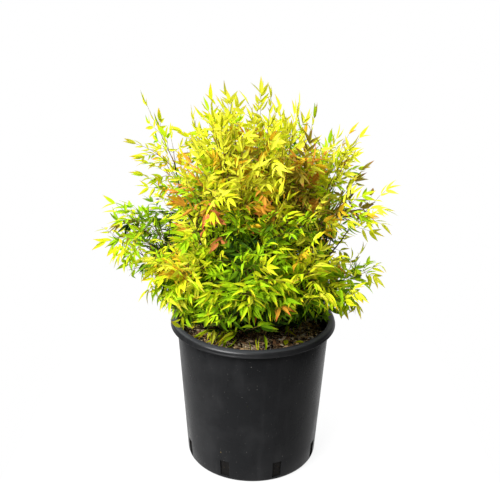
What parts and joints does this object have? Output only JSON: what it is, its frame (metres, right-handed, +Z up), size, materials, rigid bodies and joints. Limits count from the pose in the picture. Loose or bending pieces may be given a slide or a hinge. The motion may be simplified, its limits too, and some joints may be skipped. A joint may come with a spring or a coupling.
{
  "type": "potted heavenly bamboo shrub",
  "caption": "Dwarf heavenly bamboo, a bushy clump of slender canes with fine compound leaves, growing in a round black nursery pot filled with bark mix.",
  "frame": {"origin": "centre of the pot's flat underside, where the plant stands on the ground", "axes": "+Z up, +X to the right seen from the front, -Y towards the front"},
  "size_m": [0.5673, 0.4856, 0.7104],
  "materials": {
    "pot": "satin black moulded plastic",
    "potting_mix": "loose brown bark chips with straw fibres",
    "cane": "brown bark, reddish towards the leaves",
    "foliage": "waxy lime green leaves with orange and coral tints"
  },
  "bodies": {
    "root": {"pot": "pot", "potting_mix": "potting_mix", "cane_top_1": "cane", "cane_top_2": "cane", "cane_top_3": "cane", "cane_top_4": "cane", "cane_upper_1": "cane", "cane_upper_2": "cane", "cane_upper_3": "cane", "cane_upper_4": "cane", "cane_upper_5": "cane", "cane_upper_6": "cane", "cane_upper_7": "cane", "cane_middle_1": "cane", "cane_middle_2": "cane", "cane_middle_3": "cane", "cane_middle_4": "cane", "cane_middle_5": "cane", "cane_middle_6": "cane", "cane_middle_7": "cane", "cane_middle_8": "cane", "cane_lower_1": "cane", "cane_lower_2": "cane", "cane_lower_3": "cane", "cane_lower_4": "cane", "cane_lower_5": "cane", "cane_lower_6": "cane", "cane_lower_7": "cane", "cane_lower_8": "cane", "cane_lower_9": "cane", "foliage_top_1": "foliage", "foliage_top_2": "foliage", "foliage_top_3": "foliage", "foliage_top_4": "foliage", "foliage_upper_1": "foliage", "foliage_upper_2": "foliage", "foliage_upper_3": "foliage", "foliage_upper_4": "foliage", "foliage_upper_5": "foliage", "foliage_upper_6": "foliage", "foliage_upper_7": "foliage", "foliage_middle_1": "foliage", "foliage_middle_2": "foliage", "foliage_middle_3": "foliage", "foliage_middle_4": "foliage", "foliage_middle_5": "foliage", "foliage_middle_6": "foliage", "foliage_middle_7": "foliage", "foliage_middle_8": "foliage", "foliage_lower_1": "foliage", "foliage_lower_2": "foliage", "foliage_lower_3": "foliage", "foliage_lower_4": "foliage", "foliage_lower_5": "foliage", "foliage_lower_6": "foliage", "foliage_lower_7": "foliage", "foliage_lower_8": "foliage", "foliage_lower_9": "foliage"}
  },
  "joints": []
}
